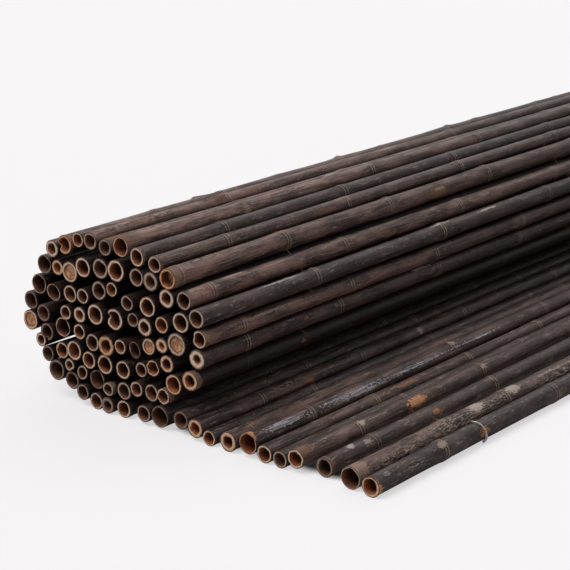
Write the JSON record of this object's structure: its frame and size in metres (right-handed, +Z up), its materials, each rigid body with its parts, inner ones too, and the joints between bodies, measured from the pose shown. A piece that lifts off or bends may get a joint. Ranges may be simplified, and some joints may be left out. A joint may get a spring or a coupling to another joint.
{
  "type": "bamboo screening roll",
  "caption": "Partly unrolled screening roll of dark hollow bamboo canes threaded side by side on galvanised wires, for fences and garden screens.",
  "frame": {"origin": "on the floor under the middle of the whole, as the roll lies", "axes": "+Y along the canes, away from the cut ends that the picture shows; +X from the roll towards the free edge of the tail; +Z up"},
  "size_m": [0.5984, 1.83, 0.2456],
  "materials": {
    "bamboo": "natural dark bamboo skin, satin",
    "wire": "galvanised, dull"
  },
  "bodies": {
    "root": {"tail_canes": "bamboo", "outer_turn_canes": "bamboo", "second_turn_canes": "bamboo", "third_turn_canes": "bamboo", "core_canes": "bamboo", "wire_1": "wire", "wire_2": "wire", "wire_3": "wire"}
  },
  "joints": []
}
